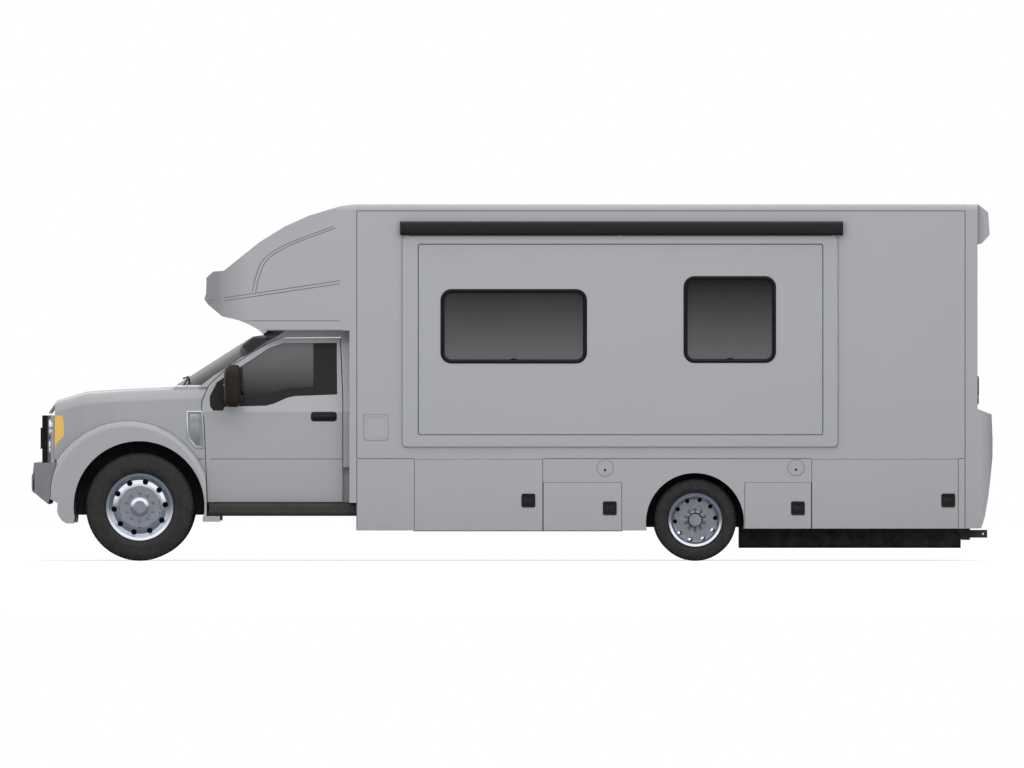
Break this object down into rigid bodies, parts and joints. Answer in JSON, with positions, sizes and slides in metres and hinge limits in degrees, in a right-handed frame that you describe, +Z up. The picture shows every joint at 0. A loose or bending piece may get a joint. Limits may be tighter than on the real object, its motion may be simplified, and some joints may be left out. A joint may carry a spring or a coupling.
{
  "type": "motorhome",
  "caption": "Motorhome on a bonneted truck chassis: cab with opening doors, coach with slide-out room, bunk over the cab, storage hatches and twin rear wheels.",
  "frame": {"origin": "on the ground, below the middle of the motorhome's bounding box", "axes": "+Z up, +X towards the rear of the motorhome, +Y towards its right side (the entry door side)"},
  "size_m": [9.344, 2.9, 3.4739],
  "materials": {
    "body_paint": "mid-grey gloss paint over moulded panels",
    "cab_paint": "mid-grey gloss paint",
    "slide_paint": "mid-grey gloss paint",
    "roof_skin": "pale satin roof membrane",
    "chassis_black": "satin black chassis paint",
    "suspension_black": "satin black paint with road dust",
    "engine_grey": "cast iron and aluminium, as a plain block",
    "tank_black": "black moulded polyethylene",
    "wheel_alloy": "polished forged aluminium",
    "tyre_rubber": "black tyre rubber, slightly dusty",
    "cab_glass": "tinted automotive glass",
    "house_glass": "dark acrylic panes in black frames",
    "black_trim": "grained black plastic",
    "black_gloss": "gloss black plastic",
    "chrome": "bright chromium plate",
    "lamp_clear": "clear polycarbonate over chromed bowls",
    "lamp_amber": "amber polycarbonate",
    "lamp_red": "red polycarbonate",
    "dash_plastic": "dark grained soft-touch plastic",
    "seat_fabric": "grey woven seat cloth",
    "floor_board": "plywood floor with vinyl covering",
    "bay_sheet": "grey coated sheet steel",
    "awning_vinyl": "grey painted aluminium case"
  },
  "bodies": {
    "coach": {"frame_rails": "chassis_black", "front_axle": "suspension_black", "rear_axle": "suspension_black", "leaf_springs": "suspension_black", "engine_block": "engine_grey", "fuel_tank": "tank_black", "cab_shell": "cab_paint", "windshield": "cab_glass", "front_fenders": "cab_paint", "grille": "black_gloss", "headlamps": "lamp_clear", "marker_lamps": "lamp_amber", "front_bumper": "chrome", "side_steps": "black_trim", "dashboard": "dash_plastic", "cab_seats": "seat_fabric", "wheel_liners": "black_trim", "coach_floor": "floor_board", "left_wall": "body_paint", "right_wall": "body_paint", "coach_windows": "house_glass", "roof_panel": "roof_skin", "front_cap": "body_paint", "rear_cap": "body_paint", "left_skirt": "body_paint", "right_skirt": "body_paint", "storage_bays": "bay_sheet", "awning_case": "awning_vinyl", "tank_pan": "tank_black", "hitch_frame": "chassis_black", "tail_lamps": "lamp_red"},
    "hood": {"hood": "cab_paint"},
    "cab_door_left": {"cab_door_left": "cab_paint", "cab_glass_left": "cab_glass", "door_fittings_left": "black_trim"},
    "cab_door_right": {"cab_door_right": "cab_paint", "cab_glass_right": "cab_glass", "door_fittings_right": "black_trim"},
    "knuckle_left": {"knuckle_left": "suspension_black"},
    "knuckle_right": {"knuckle_right": "suspension_black"},
    "front_wheel_left": {"front_wheel_left": "wheel_alloy", "front_tyre_left": "tyre_rubber"},
    "front_wheel_right": {"front_wheel_right": "wheel_alloy", "front_tyre_right": "tyre_rubber"},
    "rear_wheels_left": {"rear_wheels_left": "wheel_alloy", "rear_tyres_left": "tyre_rubber"},
    "rear_wheels_right": {"rear_wheels_right": "wheel_alloy", "rear_tyres_right": "tyre_rubber"},
    "slide_room": {"slide_room": "slide_paint", "slide_windows": "house_glass", "slide_topper": "black_trim"},
    "entry_door": {"entry_door": "body_paint", "entry_glass": "house_glass"},
    "entry_step": {"entry_step": "chassis_black"},
    "hatch_left_1": {"hatch_left_1": "body_paint"},
    "hatch_left_2": {"hatch_left_2": "body_paint"},
    "hatch_left_3": {"hatch_left_3": "body_paint"},
    "hatch_left_4": {"hatch_left_4": "body_paint"},
    "hatch_right_1": {"hatch_right_1": "body_paint"},
    "hatch_right_2": {"hatch_right_2": "body_paint"}
  },
  "joints": [
    {"name": "hood_hinge", "type": "hinge", "parent": "coach", "child": "hood", "pos_m": [-3.3123, 0, 1.661], "axis": [0, 1, 0], "range_deg": [0, 55]},
    {"name": "cab_door_left_hinge", "type": "hinge", "parent": "coach", "child": "cab_door_left", "pos_m": [-2.95, -1, 1.2], "axis": [0, 0, -1], "range_deg": [0, 65]},
    {"name": "cab_door_right_hinge", "type": "hinge", "parent": "coach", "child": "cab_door_right", "pos_m": [-2.95, 1, 1.2], "axis": [0, 0, 1], "range_deg": [0, 65]},
    {"name": "steer_left", "type": "hinge", "parent": "coach", "child": "knuckle_left", "pos_m": [-3.619, -0.86, 0.525], "axis": [0, 0, 1], "range_deg": [-35, 35]},
    {"name": "steer_right", "type": "hinge", "parent": "coach", "child": "knuckle_right", "pos_m": [-3.619, 0.86, 0.525], "axis": [0, 0, 1], "range_deg": [-35, 35]},
    {"name": "front_spin_left", "type": "hinge", "parent": "knuckle_left", "child": "front_wheel_left", "pos_m": [-3.619, -1.04, 0.525], "axis": [0, 1, 0], "continuous": true},
    {"name": "front_spin_right", "type": "hinge", "parent": "knuckle_right", "child": "front_wheel_right", "pos_m": [-3.619, 1.04, 0.525], "axis": [0, 1, 0], "continuous": true},
    {"name": "rear_spin_left", "type": "hinge", "parent": "coach", "child": "rear_wheels_left", "pos_m": [1.781, -0.935, 0.4], "axis": [0, 1, 0], "continuous": true},
    {"name": "rear_spin_right", "type": "hinge", "parent": "coach", "child": "rear_wheels_right", "pos_m": [1.781, 0.935, 0.4], "axis": [0, 1, 0], "continuous": true},
    {"name": "slide_out", "type": "slide", "parent": "coach", "child": "slide_room", "axis": [0, -1, 0], "range_m": [0, 0.85]},
    {"name": "entry_hinge", "type": "hinge", "parent": "coach", "child": "entry_door", "pos_m": [-1.2397, 1.26, 1.58], "axis": [0, 0, 1], "range_deg": [0, 90]},
    {"name": "step_slide", "type": "slide", "parent": "coach", "child": "entry_step", "axis": [0, 1, 0], "range_m": [0, 0.33]},
    {"name": "hatch_left_1_hinge", "type": "hinge", "parent": "coach", "child": "hatch_left_1", "pos_m": [-0.3255, -1.262, 0.9827], "axis": [-1, 0, 0], "range_deg": [0, 90]},
    {"name": "hatch_left_2_hinge", "type": "hinge", "parent": "coach", "child": "hatch_left_2", "pos_m": [0.685, -1.262, 0.7547], "axis": [-1, 0, 0], "range_deg": [0, 90]},
    {"name": "hatch_left_3_hinge", "type": "hinge", "parent": "coach", "child": "hatch_left_3", "pos_m": [2.5845, -1.262, 0.7547], "axis": [-1, 0, 0], "range_deg": [0, 90]},
    {"name": "hatch_left_4_hinge", "type": "hinge", "parent": "coach", "child": "hatch_left_4", "pos_m": [3.624, -1.262, 0.9827], "axis": [-1, 0, 0], "range_deg": [0, 90]},
    {"name": "hatch_right_1_hinge", "type": "hinge", "parent": "coach", "child": "hatch_right_1", "pos_m": [0.5595, 1.262, 0.9827], "axis": [1, 0, 0], "range_deg": [0, 90]},
    {"name": "hatch_right_2_hinge", "type": "hinge", "parent": "coach", "child": "hatch_right_2", "pos_m": [3.624, 1.262, 0.9827], "axis": [1, 0, 0], "range_deg": [0, 90]}
  ],
  "couplings": [
    {"joint": "steer_right", "follows": "steer_left", "ratio": 1}
  ]
}
